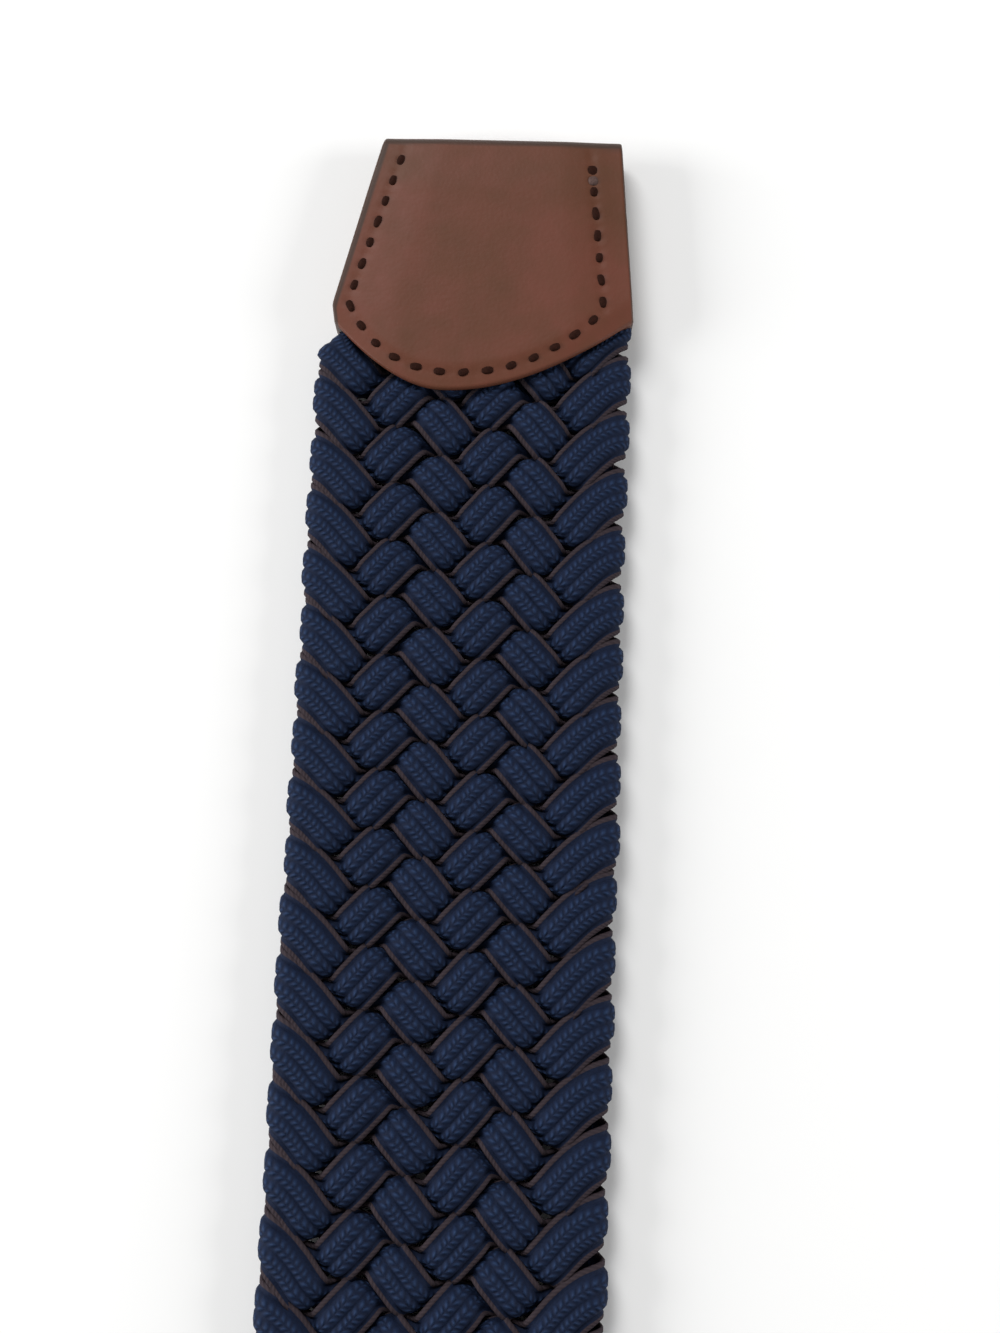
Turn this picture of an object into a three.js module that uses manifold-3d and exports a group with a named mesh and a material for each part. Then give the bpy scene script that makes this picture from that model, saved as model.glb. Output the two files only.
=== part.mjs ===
// A braided belt that lies flat and straight, its underside on Z = 0 and its leather tip towards +Y.
// All lengths are millimetres. Along the belt, places are distances from one of its two strap ends:
// the outer edge of the leather tip, or the fold of the leather chape round the buckle's bar.

import * as THREE from 'three';
import { mergeVertices } from 'three/addons/utils/BufferGeometryUtils.js';
import Module from 'manifold-3d';

const wasm = await Module();
wasm.setup();

// Driving dimensions

const clearance = 0.3; // air between two pieces that lie against each other
const belt = { length: 1050, width: 35, thickness: 4.4 };
const braid = {
  pitch: 6.36, // length of belt from one strand turn at an edge to the next
  notch: 0.3, // depth of the notch between two strand turns
  edgeChamfer: 1.4, // how far the flat faces stay inside the edges
  pressed: 2.0, // thickness where leather is sewn over it
  swell: 6, // length in which it swells from pressed to full
  endGap: 3, // air between its cut end and the bottom of a leather pocket
};
const leather = { wall: 1.4, seam: 1.5, edgeBevel: 0.3 };

// Leather covers. A row gives a point of a side: its share of the cover's length from the folded end,
// and its inset from the belt's own edge as a share of the belt's width. The last row is the corner
// where the curved base begins.
const tip = {
  length: 29.8,
  left: [
    { along: 0, inset: 0.18 },
    { along: 0.66, inset: 0.043 },
    { along: 0.775, inset: 0.057 },
  ],
  right: [
    { along: 0, inset: 0.054 },
    { along: 0.72, inset: 0 },
  ],
  crownShift: -1.3, // where the curved base reaches furthest, from the belt's middle
};
const chapeInset = 0.023;
const chape = {
  length: 58,
  left: [
    { along: 0, inset: chapeInset },
    { along: 0.86, inset: chapeInset },
  ],
  right: [
    { along: 0, inset: chapeInset },
    { along: 0.86, inset: chapeInset },
  ],
  crownShift: 0,
};
const crownFullness = 0.45; // share of a corner's way out to which the base curve's handle reaches

const bar = { length: 4 }; // across its section, along the belt
const frame = {
  sidePlay: 0.9, // air between each side of the belt and the side rail
  rail: 4.6,
  reach: 28, // opening between bar and front rail
  height: 4.2,
  heel: 2, // how far the side rails run on behind the bar
  corner: 7,
  heelCorner: 2,
  bevel: 0.8,
};
const prong = { width: 3.4, loopWall: 1.1, loopWidth: 5, rise: 9, seat: 0.7 };
const prongSlot = { length: 11 };
const keeper = { place: 17, width: 10, sideGap: 0.6, room: 6.2, corner: 0.7 };

// Worked-out dimensions

const pocketHeight = braid.pressed + 2 * clearance;
const sewnHeight = pocketHeight + 2 * leather.wall;
const middle = sewnHeight / 2; // height of the middle layer: pressed braid, bar and keeper foot
const barFromFold = leather.wall + clearance + bar.length / 2;
const frameFromBar = bar.length / 2 + frame.reach + frame.rail;
const strapLength = belt.length - (frameFromBar - barFromFold);
const windowHalf = belt.width / 2 + frame.sidePlay;
const chapeHalf = belt.width * (0.5 - chapeInset);

const tipPlace = (distance) => -distance;
const chapePlace = (distance) => distance - strapLength;
const barPlace = chapePlace(barFromFold);

// Materials

const brownLeather = new THREE.MeshStandardMaterial({ color: 0x6b463b, roughness: 0.55, metalness: 0 });
const navyBraid = new THREE.MeshStandardMaterial({ color: 0x1c2433, roughness: 0.9, metalness: 0 });
const brushedMetal = new THREE.MeshStandardMaterial({ color: 0x9a9488, roughness: 0.35, metalness: 1 });

// Solids and meshes

function toSolid(geometry) {
  const bare = geometry.index ? geometry.toNonIndexed() : geometry.clone();
  bare.deleteAttribute('normal');
  bare.deleteAttribute('uv');
  const merged = mergeVertices(bare, 1e-4);
  return new wasm.Manifold(new wasm.Mesh({
    numProp: 3,
    vertProperties: new Float32Array(merged.attributes.position.array),
    triVerts: new Uint32Array(merged.index.array),
  }));
}

function toMesh(solid, name, material) {
  const { vertProperties, triVerts } = solid.getMesh();
  const geometry = new THREE.BufferGeometry();
  geometry.setAttribute('position', new THREE.BufferAttribute(new Float32Array(vertProperties), 3));
  geometry.setIndex(new THREE.BufferAttribute(new Uint32Array(triVerts), 1));
  const shaded = geometry.toNonIndexed();
  shaded.computeVertexNormals();
  const mesh = new THREE.Mesh(shaded, material);
  mesh.name = name;
  return mesh;
}

// A plan outline made into a slab between two heights, its upper and lower edges bevelled
function slab(outline, low, high, bevel = 0, curveSegments = 8) {
  const geometry = new THREE.ExtrudeGeometry(outline, {
    depth: high - low - 2 * bevel,
    bevelEnabled: bevel > 0,
    bevelThickness: bevel,
    bevelSize: bevel,
    bevelOffset: -bevel,
    bevelSegments: 1,
    curveSegments,
  });
  return toSolid(geometry.translate(0, 0, low + bevel));
}

// A side profile, drawn in (Y, Z), made into a solid that reaches across the belt
function acrossBelt(profile, left, right) {
  const geometry = new THREE.ExtrudeGeometry(profile, {
    depth: right - left,
    bevelEnabled: false,
    curveSegments: 3,
  });
  const turn = new THREE.Matrix4().makeBasis(
    new THREE.Vector3(0, 1, 0),
    new THREE.Vector3(0, 0, 1),
    new THREE.Vector3(1, 0, 0),
  );
  return toSolid(geometry.applyMatrix4(turn).translate(left, 0, 0));
}

function block(left, right, start, end, low, high) {
  const geometry = new THREE.BoxGeometry(right - left, Math.abs(end - start), high - low);
  return toSolid(geometry.translate((left + right) / 2, (start + end) / 2, (low + high) / 2));
}

// A band between two heights whose near end is half round: the side view of a fold, or of its inside
function foldProfile(place, nearEnd, farEnd, low, high) {
  const radius = (high - low) / 2;
  const steps = 8;
  const points = [];
  for (let i = 0; i <= steps; i += 1) {
    const angle = -Math.PI / 2 - (Math.PI * i) / steps;
    const distance = nearEnd + radius + radius * Math.cos(angle);
    points.push(new THREE.Vector2(place(distance), (low + high) / 2 + radius * Math.sin(angle)));
  }
  points.push(new THREE.Vector2(place(farEnd), high));
  points.push(new THREE.Vector2(place(farEnd), low));
  return new THREE.Shape(points);
}

function roundedRectangle(left, right, low, high, radius, highRadius = radius) {
  const outline = new THREE.Shape();
  outline.moveTo(left + radius, low);
  outline.lineTo(right - radius, low);
  outline.absarc(right - radius, low + radius, radius, -Math.PI / 2, 0);
  outline.lineTo(right, high - highRadius);
  outline.absarc(right - highRadius, high - highRadius, highRadius, 0, Math.PI / 2);
  outline.lineTo(left + highRadius, high);
  outline.absarc(left + highRadius, high - highRadius, highRadius, Math.PI / 2, Math.PI);
  outline.lineTo(left, low + radius);
  outline.absarc(left + radius, low + radius, radius, Math.PI, Math.PI * 1.5);
  return outline;
}

// Leather that is folded over an end of the strap: a tapered cover with a curved base

// Points of both sides, from the folded end to the corner: X across the belt, Y the distance
function coverSides(cover, margin = 0) {
  const half = belt.width / 2 - margin;
  const point = (row, sign) => new THREE.Vector2(
    sign * (half - row.inset * belt.width),
    row.along * cover.length,
  );
  return {
    left: cover.left.map((row) => point(row, -1)),
    right: cover.right.map((row) => point(row, 1)),
  };
}

function coverOutline(cover, place) {
  const { left, right } = coverSides(cover);
  const { crownShift, length } = cover;
  const rightHandle = crownShift + crownFullness * (right.at(-1).x - crownShift);
  const leftHandle = crownShift + crownFullness * (left.at(-1).x - crownShift);
  const outline = new THREE.Shape();
  outline.moveTo(left[0].x, place(left[0].y));
  right.forEach((point) => outline.lineTo(point.x, place(point.y)));
  outline.quadraticCurveTo(rightHandle, place(length), crownShift, place(length));
  outline.quadraticCurveTo(leftHandle, place(length), left.at(-1).x, place(left.at(-1).y));
  left.slice(1, -1).reverse().forEach((point) => outline.lineTo(point.x, place(point.y)));
  outline.closePath();
  return outline;
}

// The pocket between the two layers, open past the base, closed by the sewn seams at both sides
function pocketOutline(cover, place) {
  const { left, right } = coverSides(cover, leather.seam);
  const mouth = cover.length + leather.wall;
  const points = [
    ...right,
    new THREE.Vector2(right.at(-1).x, mouth),
    new THREE.Vector2(left.at(-1).x, mouth),
    ...left.reverse(),
  ];
  return new THREE.Shape(points.map((point) => new THREE.Vector2(point.x, place(point.y))));
}

function foldedCover(cover, place) {
  const past = belt.width; // the profiles reach past both sides of the leather
  const farEnd = cover.length + leather.wall;
  const outside = slab(coverOutline(cover, place), 0, sewnHeight, leather.edgeBevel)
    .intersect(acrossBelt(foldProfile(place, 0, farEnd, 0, sewnHeight), -past, past));
  const pocketLow = leather.wall;
  const pocketHigh = sewnHeight - leather.wall;
  const insideFold = foldProfile(place, leather.wall, farEnd, pocketLow, pocketHigh);
  const inside = slab(pocketOutline(cover, place), pocketLow, pocketHigh)
    .intersect(acrossBelt(insideFold, -past, past));
  return outside.subtract(inside);
}

function makeTip() {
  return foldedCover(tip, tipPlace);
}

// The chape's fold is open at both sides for the bar, has a slot for the prong, and two side gaps
// in which the keeper loop goes round the upper layer.
function makeChape() {
  const past = belt.width;
  const pocketLow = leather.wall;
  const pocketHigh = sewnHeight - leather.wall;
  const barRoom = leather.wall + 2 * clearance + bar.length;
  const barGapProfile = foldProfile(chapePlace, leather.wall, barRoom, pocketLow, pocketHigh);
  const barGap = acrossBelt(barGapProfile, -past, past);
  const keeperGap = block(
    -past, past,
    chapePlace(keeper.place - clearance), chapePlace(keeper.place + keeper.width + clearance),
    pocketLow, pocketHigh,
  );
  const slotHalf = prong.loopWidth / 2 + clearance;
  const slotOutline = roundedRectangle(
    -slotHalf, slotHalf, chapePlace(-slotHalf * 2), chapePlace(prongSlot.length), slotHalf,
  );
  const slot = slab(slotOutline, -leather.wall, sewnHeight + leather.wall);
  return foldedCover(chape, chapePlace).subtract(barGap).subtract(keeperGap).subtract(slot);
}

// Braid

const smooth = (share) => THREE.MathUtils.smoothstep(share, 0, 1);

// X of a side's points at a distance from the folded end
function sideAt(points, distance) {
  const next = points.findIndex((point) => point.y > distance);
  if (next < 0) return points.at(-1).x;
  const from = points[next - 1];
  const share = (distance - from.y) / (points[next].y - from.y);
  return THREE.MathUtils.lerp(from.x, points[next].x, share);
}

// 0 where the leather's corners still hold the braid narrow, 1 where it has its full width
function spread(cover, distance) {
  const { left, right } = coverSides(cover);
  const from = Math.max(left.at(-1).y, right.at(-1).y) + leather.seam;
  return smooth((distance - from) / (cover.length - from));
}

// 0 between the layers of leather, 1 where the braid has its full thickness
function swelling(cover, distance) {
  return smooth((distance - cover.length - clearance) / braid.swell);
}

// One cross-section of the braid. The strand turns at the right edge lie between those at the left.
const rowsPerTurn = 3;
const turnLag = 1 / rowsPerTurn;

function braidSection(fromTip, turnShare) {
  const fromChape = strapLength - fromTip;
  const nearTip = fromTip < fromChape;
  const cover = nearTip ? tip : chape;
  const distance = nearTip ? fromTip : fromChape;
  const notchAt = (share) => (Math.abs(share - Math.round(share)) < 1e-6 ? braid.notch : 0);
  const free = {
    left: -belt.width / 2 + notchAt(turnShare),
    right: belt.width / 2 - notchAt(turnShare + turnLag),
  };
  const held = coverSides(cover, leather.seam + clearance);
  const wide = spread(cover, distance);
  const thick = swelling(cover, distance);
  const half = THREE.MathUtils.lerp(braid.pressed, belt.thickness, thick) / 2;
  const level = THREE.MathUtils.lerp(middle, belt.thickness / 2, thick);
  return {
    y: tipPlace(fromTip),
    left: THREE.MathUtils.lerp(sideAt(held.left, distance), free.left, wide),
    right: THREE.MathUtils.lerp(sideAt(held.right, distance), free.right, wide),
    low: level - half,
    high: level + half,
    level,
  };
}

// Six corners round a section, counter-clockwise as seen from the tip end
function sectionPoints({ y, left, right, low, high, level }) {
  const chamfer = braid.edgeChamfer;
  return [
    [left, y, level],
    [left + chamfer, y, high],
    [right - chamfer, y, high],
    [right, y, level],
    [right - chamfer, y, low],
    [left + chamfer, y, low],
  ];
}

function loftedSolid(sections) {
  const positions = sections.flat(2);
  const corners = sections[0].length;
  const last = (sections.length - 1) * corners;
  const faces = [];
  for (let s = 0; s + 1 < sections.length; s += 1) {
    for (let c = 0; c < corners; c += 1) {
      const a = s * corners + c;
      const b = s * corners + ((c + 1) % corners);
      faces.push(a, a + corners, b, b, a + corners, b + corners);
    }
  }
  for (let c = 1; c + 1 < corners; c += 1) {
    faces.push(0, c, c + 1);
    faces.push(last, last + c + 1, last + c);
  }
  const geometry = new THREE.BufferGeometry();
  geometry.setAttribute('position', new THREE.Float32BufferAttribute(positions, 3));
  geometry.setIndex(faces);
  return toSolid(geometry);
}

function makeBraid() {
  const start = leather.wall + braid.endGap;
  const keeperEnd = keeper.place + keeper.width + clearance;
  const end = strapLength - keeperEnd - clearance;
  const rows = Math.round(((end - start) / braid.pitch) * rowsPerTurn);
  const sections = [];
  for (let row = 0; row <= rows; row += 1) {
    const fromTip = start + ((end - start) * row) / rows;
    sections.push(sectionPoints(braidSection(fromTip, row / rowsPerTurn)));
  }
  return loftedSolid(sections);
}

// Keeper loop: its foot lies between the chape's layers, the rest goes round the upper layer

function makeKeeper() {
  const wall = braid.pressed;
  const foot = middle - wall / 2;
  const inner = chapeHalf + keeper.sideGap;
  const innerHigh = sewnHeight + keeper.room;
  const outer = inner + wall;
  const outline = roundedRectangle(-outer, outer, foot, innerHigh + wall, keeper.corner + wall);
  outline.holes.push(roundedRectangle(-inner, inner, foot + wall, innerHigh, keeper.corner));
  const loop = new THREE.ExtrudeGeometry(outline, {
    depth: keeper.width,
    bevelEnabled: false,
    curveSegments: 5,
  });
  loop.rotateX(Math.PI / 2);
  return toSolid(loop.translate(0, chapePlace(keeper.place + keeper.width), 0));
}

// Buckle: frame, bar and prong in one piece. "Ahead" is the distance from the bar, away from the strap.

const aheadOfBar = (distance) => barPlace - distance;

function makeFrame() {
  const outerHalf = windowHalf + frame.rail;
  const heel = -(bar.length / 2 + frame.heel);
  const windowEnd = bar.length / 2 + frame.reach;
  const outline = roundedRectangle(
    -outerHalf, outerHalf, aheadOfBar(frameFromBar), aheadOfBar(heel), frame.corner, frame.heelCorner,
  );
  const pastHeel = heel - frame.corner; // the window runs out through the heel, where the bar closes it
  const window = roundedRectangle(
    -windowHalf, windowHalf, aheadOfBar(windowEnd), aheadOfBar(pastHeel), frame.corner - frame.rail / 2,
  );
  return slab(outline, 0, frame.height, frame.bevel, 6)
    .subtract(slab(window, -frame.height, 2 * frame.height, 0, 6));
}

function makeBar() {
  const half = windowHalf + frame.rail / 2;
  const low = middle - braid.pressed / 2;
  const high = middle + braid.pressed / 2;
  const radius = braid.pressed / 2 - 1e-3; // a hair short of round, so that no edge has zero length
  const profile = roundedRectangle(
    aheadOfBar(bar.length / 2), aheadOfBar(-bar.length / 2), low, high, radius,
  );
  return acrossBelt(profile, -half, half);
}

function makeProng() {
  const radius = prong.width / 2;
  const seatHeight = frame.height - prong.seat + radius;
  const tipAhead = frameFromBar - radius;
  const path = new THREE.CatmullRomCurve3([
    new THREE.Vector3(0, aheadOfBar(0), middle),
    new THREE.Vector3(0, aheadOfBar(prong.rise), seatHeight - radius / 3),
    new THREE.Vector3(0, aheadOfBar((prong.rise + tipAhead) / 2), seatHeight + radius / 3),
    new THREE.Vector3(0, aheadOfBar(tipAhead), seatHeight),
  ]);
  const section = new THREE.Shape();
  section.absarc(0, 0, radius, 0, Math.PI * 2);
  const shaft = toSolid(new THREE.ExtrudeGeometry(section, {
    extrudePath: path,
    steps: 8,
    curveSegments: 5,
    bevelEnabled: false,
  }));
  const nose = new THREE.SphereGeometry(radius * 0.98, 10, 6);
  const loopHalf = bar.length / 2 + prong.loopWall;
  const loopHeight = braid.pressed / 2 + prong.loopWall;
  const loopProfile = roundedRectangle(
    aheadOfBar(loopHalf), aheadOfBar(-loopHalf), middle - loopHeight, middle + loopHeight, loopHeight * 0.9,
  );
  return shaft
    .add(toSolid(nose.translate(0, aheadOfBar(tipAhead), seatHeight)))
    .add(acrossBelt(loopProfile, -prong.loopWidth / 2, prong.loopWidth / 2));
}

function makeBuckle() {
  return makeFrame().add(makeBar()).add(makeProng());
}

// The whole belt, its underside at Z = 0 and centred on X and Y

const model = new THREE.Group();
model.add(toMesh(makeBraid(), 'braid', navyBraid));
model.add(toMesh(makeTip(), 'tip_leather', brownLeather));
model.add(toMesh(makeChape(), 'chape_leather', brownLeather));
model.add(toMesh(makeKeeper(), 'keeper_loop', brownLeather));
model.add(toMesh(makeBuckle(), 'buckle', brushedMetal));

const box = new THREE.Box3().setFromObject(model);
const centre = box.getCenter(new THREE.Vector3());
model.position.set(-centre.x, -centre.y, -box.min.z);

export default model;
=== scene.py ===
# Braided belt: seven ribbed elastic strands, sewn leather ends, a keeper loop and a plain buckle,
# lying flat on a white surface with its leather tip towards +Y.
import math

import bmesh
import bpy
import numpy as np
from mathutils import Matrix, Vector


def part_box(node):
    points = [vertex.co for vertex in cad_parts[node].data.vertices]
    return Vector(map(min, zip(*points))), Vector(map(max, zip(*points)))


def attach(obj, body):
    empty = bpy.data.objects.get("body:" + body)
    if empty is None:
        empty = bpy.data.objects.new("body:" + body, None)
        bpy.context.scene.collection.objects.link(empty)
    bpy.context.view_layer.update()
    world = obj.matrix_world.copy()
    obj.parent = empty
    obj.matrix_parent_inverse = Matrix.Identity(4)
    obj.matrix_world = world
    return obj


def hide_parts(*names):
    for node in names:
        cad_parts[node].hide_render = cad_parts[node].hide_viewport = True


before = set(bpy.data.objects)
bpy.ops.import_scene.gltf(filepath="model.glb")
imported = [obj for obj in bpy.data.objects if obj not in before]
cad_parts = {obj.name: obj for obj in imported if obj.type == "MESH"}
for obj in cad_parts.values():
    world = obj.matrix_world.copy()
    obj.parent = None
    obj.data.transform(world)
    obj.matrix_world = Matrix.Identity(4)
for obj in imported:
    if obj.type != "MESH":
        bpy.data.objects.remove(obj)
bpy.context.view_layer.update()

# Sizes are millimetres. Along the belt, places are distances from an end of the strap: "s" from the
# leather's folded end, "v" from the tip's outer edge, always growing away from it.
MM = 0.001


def node_box(node):
    """A CAD node's lowest and highest corners in millimetres."""
    low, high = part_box(node)
    return np.array(low) / MM, np.array(high) / MM


TIP_LOW, TIP_HIGH = node_box("tip_leather")
CHAPE_LOW, CHAPE_HIGH = node_box("chape_leather")
KEEPER_LOW, KEEPER_HIGH = node_box("keeper_loop")
BRAID_LOW, BRAID_HIGH = node_box("braid")
BUCKLE_LOW, BUCKLE_HIGH = node_box("buckle")

BELT_WIDTH = BRAID_HIGH[0] - BRAID_LOW[0]
BRAID_HEIGHT = BRAID_HIGH[2] - BRAID_LOW[2]
SEWN_HEIGHT = TIP_HIGH[2] - TIP_LOW[2]
MIDDLE = SEWN_HEIGHT / 2
TIP_EDGE = TIP_HIGH[1]
CHAPE_EDGE = CHAPE_LOW[1]
STRAP_LENGTH = TIP_EDGE - CHAPE_EDGE
LEATHER = 1.4  # thickness of the leather

# Braid
STRANDS = 7
PITCH = 6.36  # belt length from one strand turn at an edge to the next
FIRST_CROSSING = 2.55  # where the pattern starts, from the tip's outer edge
FIRST_COLUMN = -13.6  # the outer columns of crossings, from the belt's middle
LAST_COLUMN = 12.7
LEFT_REACH = 17.1  # where a strand's middle turns back at each edge
RIGHT_REACH = 17.05
EDGE_RADIUS = 1.35  # how tightly a strand rolls round the edge
ROLL_START = 0.45  # share of its way in from the edge where a strand starts to unroll
ROLL_SPAN = 0.5  # share in which it unrolls
LEAN = math.radians(48)  # a strand's lean on a crossing, from straight across the belt
SHIFT_SPAN = 0.06  # share of a step, at each end, where a strand slides sideways
SWING = 1.16  # a strand's middle above or below the braid's
SQUARENESS = 0.24  # how flat a strand lies on a crossing before it dives
DRIFT = 0.45  # slow stretch of the pattern along the belt
DRIFT_LENGTH = 85
DRIFT_START = 54
DRIFT_LEVEL = 0.7
WIDEN_LEFT = (1, 4.5)  # how far before the leather's corner the braid starts to widen, and over what
WIDEN_RIGHT = (3, 3.5)  # length, on its left and on its right
FLATTEN = 2.4  # length over which it is pressed flat at the leather's base
UNEVEN = 0.12  # how far a strand strays from the pattern
WANDER = (0.7, 1, 0.3)  # the shares of that across, along and in height
WANDER_SPREAD = 0.7  # crossings over which it changes
SMOOTHING = 0.035  # crossings over which bends are rounded
STRAND_START = LEATHER + 3  # the hidden ends in the tip and the chape
STRAND_END = STRAP_LENGTH - 29

# Strand: two ribs of slanting stitches between two cords
RIBS = 2
RIBBED_WIDTH = 3.28
RIB_GROOVE = 0.38  # depth of the grooves beside the ribs
RIB_SHOULDER = 0.05  # how much lower a rib is beside its crest
CORD_PLACE = 2.24  # from the strand's middle to the middle of a cord
CORD = 0.66
VALLEY_PLACE = 0.1  # from the ribs to the thin web that carries a cord
VALLEY_HALF = 0.06  # half the thickness of that web
STRAND_THICK = 1.85
STRAND_EDGE_THICK = 1.15
SQUEEZED_WIDTH = 0.97  # share of the width left where a strand dives
SQUEEZED_THICK = 0.9  # share of the thickness left there
EDGE_WIDTH = 1.06  # share of the width at the belt's edges
EDGE_THICK = 0.64  # share of the thickness there
STITCH = 0.68  # length of one slanting stitch along a rib

# Mesh of a strand
SAMPLES = 40  # samples from one crossing to the next
SPARE_STEPS = 4  # crossings sampled beyond each end
SEEN_LENGTH = 140  # stretch of belt at the tip that gets the finer mesh
SEEN_FADE = 12
FINE_STEP = 0.45
COARSE_STEP = 2.25
STRAIGHT_SHARE = 1.15  # share of a step's length where the strand is straight
BENT_SHARE = 0.6  # share of it where the strand is bent
FULL_BEND = 0.7  # turn in a millimetre that counts as bent

# Leather covers: rows of a side are (share of the cover's length, inset as a share of the belt's
# width). The crown is where across the belt the curved base reaches furthest, and the skew is how far
# the fold slants. dark_fold is the start and end of the dark line beside the fold, and dark_left the
# width of the dark left edge. Something passes between the two layers where the cover is open. A
# stitch line's corners are (across, from the fold), and a third value of 1 marks a curve's handle.
TIP = {
    "node": "tip_leather",
    "edge": TIP_EDGE,
    "towards": -1,  # direction of s along the belt
    "mesh": (92, 76),
    "length": TIP_HIGH[1] - TIP_LOW[1] + 0.6,  # a little past the CAD tip
    "left": ((0, 0.18), (0.686, 0.043), (0.75, 0.052)),
    "right": ((0, 0.054), (0.706, 0)),
    "crown": -3.3,
    "skew": 0.6,
    "dark_fold": (0.35, 1.65),
    "dark_left": 0.85,
    "stitches": ((-8.9, 2.1, 0), (-14.2, 20.6, 0), (-10.5, 28.5, 1), (-2.6, 28.5, 0), (7.0, 28.5, 1),
                 (14.1, 20.6, 0), (12.2, 2.5, 0)),
}
CHAPE = {
    "node": "chape_leather",
    "edge": CHAPE_EDGE,
    "towards": 1,
    "mesh": (56, 92),
    "length": CHAPE_HIGH[1] - CHAPE_LOW[1],
    "left": ((0, 0.023), (0.86, 0.023)),
    "right": ((0, 0.023), (0.86, 0.023)),
    "crown": 0,
    "skew": 0,
    "dark_fold": (0, 0),
    "dark_left": 0.3,
    "stitches": ((-13.6, 13.0, 0), (-13.6, 47.5, 0), (-8.5, 55.3, 1), (0, 55.3, 0), (8.5, 55.3, 1),
                 (13.6, 47.5, 0), (13.6, 13.0, 0)),
    "open": ((1.4, 6.1), (KEEPER_LOW[1] - CHAPE_EDGE - 0.3, KEEPER_HIGH[1] - CHAPE_EDGE + 0.3)),
}
DARK_RIGHT = 0.3
DARK_BLUR = 0.2  # length over which a dark edge fades
SKEW_REACH = 8  # how far from the fold the slant is gone
CROWN_FULLNESS = 0.45
SEAM = 1.5  # leather sewn beside the braid
CLEARANCE = 0.3  # left between braid and leather

# Leather details
EDGE_ROUND = 0.35  # rounding of the leather's cut edges
FOLD_DEPTH = 1.7  # how far the rounded fold reaches
FOLD_ROWS = np.array([0.0, 0.04, 0.12, 0.25, 0.45, 0.75, 1.1, 1.4, 1.7, 2.0])  # mesh rows by the fold
EDGE_ROWS = np.array([0.1, 0.25, 0.5, 0.8]) / 30  # extra mesh rows by a cut edge
POCKET_DEPTH = 4  # how far in from the base the leather has inner faces
POCKET_ROWS = np.array([0.0, 0.3, 1.0])
POCKET_SIDE = 0.5  # how far from a side the pocket starts to open
POCKET_OPENING = 1.2
SEWN_GAP = 0.03  # half the gap between the sewn layers
SEWN_REACH = 0.15  # how far in it goes
OPEN_REACH = 16.5  # how far in a gap above WIDE_GAP goes
WIDE_GAP = 0.5
PINCH = 0.87  # share of the tip's height at its sides by the fold
CORNER_PINCH = 0.86  # by the base's corners
FOLD_PINCH = 0.86  # next to the fold
CHAPE_PINCH = 0.93  # at the sides of the chape
PINCH_SIDE = 0.5  # how far from a side the height starts to grow
PINCH_REACH = 7
BASE_LEFT = 0.87  # share left at the curved base
BASE_REACH = 3
BASE_WALL = 0.55  # leather showing as a rim at the base
SEAM_GROOVE = 0.14  # depth of the groove that the stitches lie in
SEAM_WIDTH = 0.5
SLOT_HALF = 2.8  # half the width of the prong's slot
SLOT_END = 11
SLOT_PAST = 2  # how far the cut reaches past the fold

# Stitches
STITCH_SPACING = 2.6
THREAD_LENGTH = 1.35
THREAD_WIDTH = 0.92
THREAD_HALF = 0.24  # half the thread's height
THREAD_SINK = 0.09  # how deep its middle lies in the leather
THREAD_TURN = 8  # spread of the stitches' turns in degrees
THREAD_END = 1.35  # size of the last stitch
THREAD_ROWS = 7
THREAD_SIDES = 8
KNOT = 1.15  # the trimmed thread's lump beside it
KNOT_SINK = 0.02
OPEN_MARGIN = 1.2  # no stitch is closer than this to an opening

# Keeper and buckle
KEEPER_WALL = 2.0
KEEPER_CORNER = 1.7
KEEPER_RIM = 4.75  # from its middle to its painted edge
RAIL = 4.6  # width of the buckle's frame
RAIL_HEIGHT = 4.2
RAIL_CORNER = 4.7
RAIL_END = 0.86  # share of the rail left at its two ends
HEEL_INSET = 0.3  # from the buckle's end to the rail's
BAR_Y = CHAPE_EDGE + 3.7
PRONG_RADIUS = 1.7
PRONG_START = 1.5  # from the bar to the prong's start
PRONG_RISEN = 9  # to where it has risen
PRONG_LIFT = 0.4  # its start above the bar's middle
PRONG_SINK = 0.7  # how deep it lies in the front rail
PRONG_SLIM = 0.88
LOOP_SIZES = (0.9, 0.97, 1, 1, 1, 1, 1, 0.97, 0.9)

# Camera and light
LENS = 40.5
TILT = 10.5  # degrees from straight down
YAW = 2.37  # degrees that the belt leans to the right in the picture
DISTANCE = 160.3
LOOK_AT = (4.3, TIP_EDGE - 60.8, 3.5)
FLOOR = 4000  # half the floor's side
LIGHT_TARGET = (0, 400, 0)
LIGHTS = (("key", (-600, 1600, 1300), 800, 23), ("left", (-1500, 300, 450), 900, 28),
          ("right", (1500, 300, 550), 900, 19))  # name, place, size, watts
WORLD_STRENGTH = 0.2


# Small helpers

def smoothstep(share):
    share = np.clip(share, 0, 1)
    return share * share * (3 - 2 * share)


def mix(a, b, share):
    return a + (b - a) * share


def unit(vectors):
    return vectors / np.linalg.norm(vectors, axis=-1, keepdims=True)


def running(steps):
    """Sum of the steps so far, from 0."""
    return np.concatenate([[0], np.cumsum(steps)])


def new_object(name, data):
    thing = bpy.data.objects.new(name, data)
    bpy.context.scene.collection.objects.link(thing)
    return thing


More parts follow.
